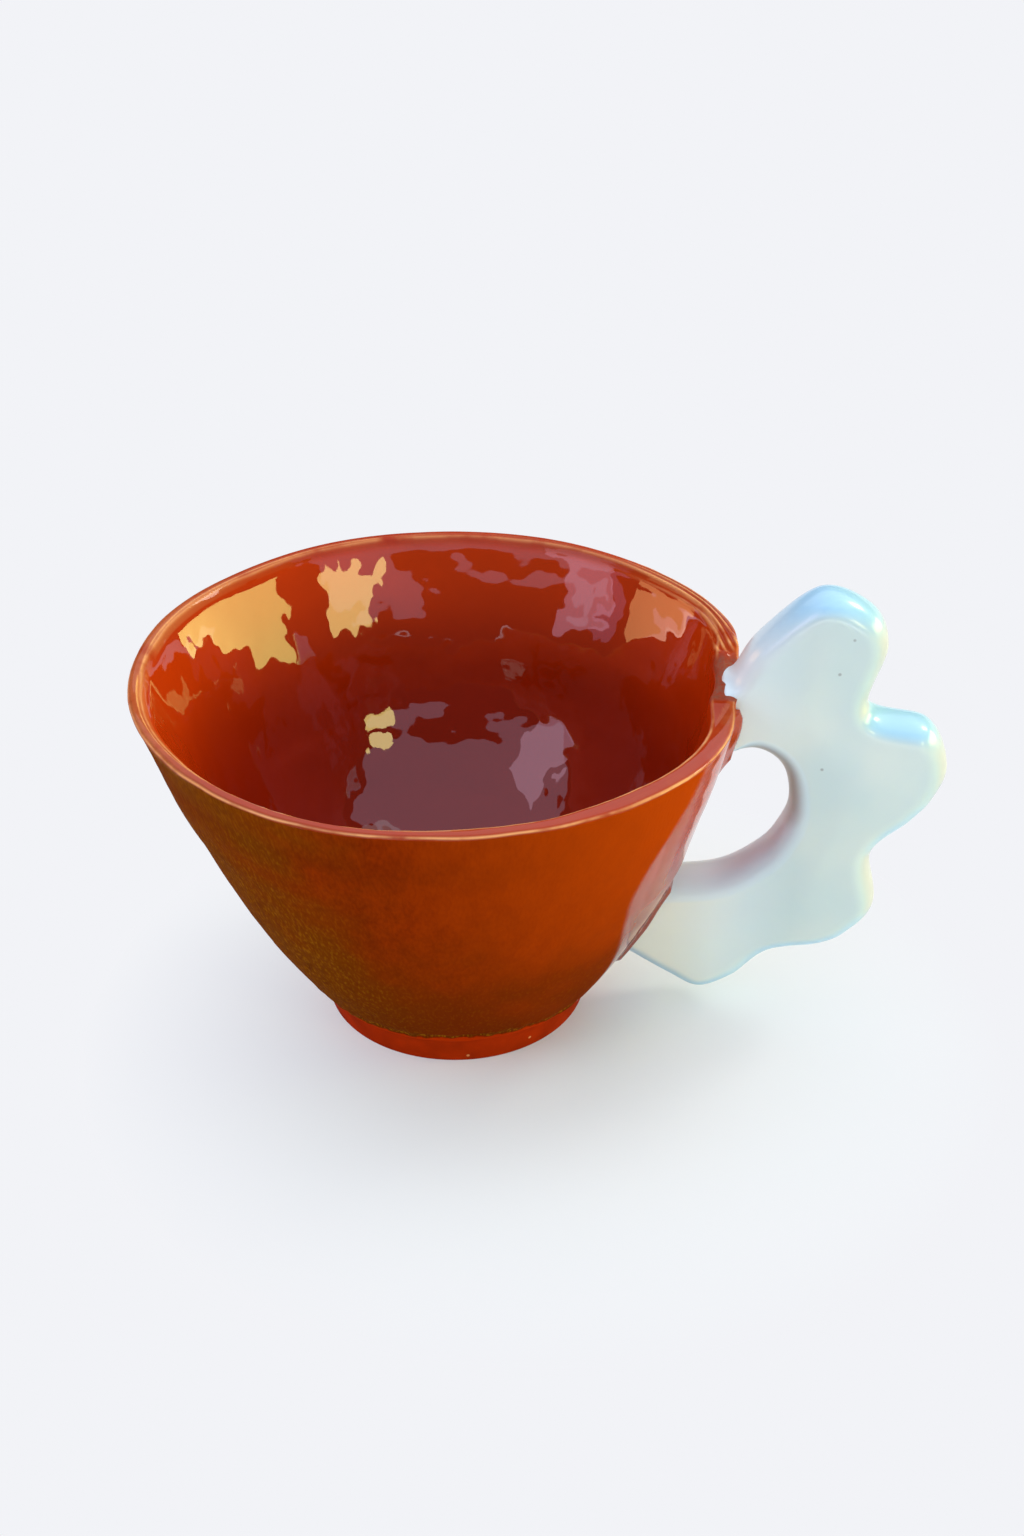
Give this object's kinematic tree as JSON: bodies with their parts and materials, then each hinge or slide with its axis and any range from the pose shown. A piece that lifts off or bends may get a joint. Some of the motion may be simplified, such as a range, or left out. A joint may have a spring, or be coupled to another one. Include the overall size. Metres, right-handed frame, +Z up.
{
  "type": "mug",
  "caption": "Hand-built glazed mug: a flared bowl on a low foot ring, with a thick slab handle of wavy lobed outline and a round finger hole.",
  "frame": {"origin": "middle of the foot ring's flat underside, on the table", "axes": "+Z up, +X from the bowl towards the handle, the handle's slab lies in the XZ plane"},
  "size_m": [0.1445, 0.11, 0.0865],
  "materials": {
    "amber_glaze": "glossy translucent amber glaze over red clay",
    "foot_clay": "thinly glazed red earthenware, satin",
    "pearl_glaze": "satin pearl white glaze with a blue and cream sheen"
  },
  "bodies": {
    "root": {"cup_wall": "amber_glaze", "cup_floor": "amber_glaze", "corner_coil": "amber_glaze", "foot_ring": "foot_clay", "handle": "pearl_glaze", "upper_lute": "amber_glaze", "lower_lute": "amber_glaze"}
  },
  "joints": []
}
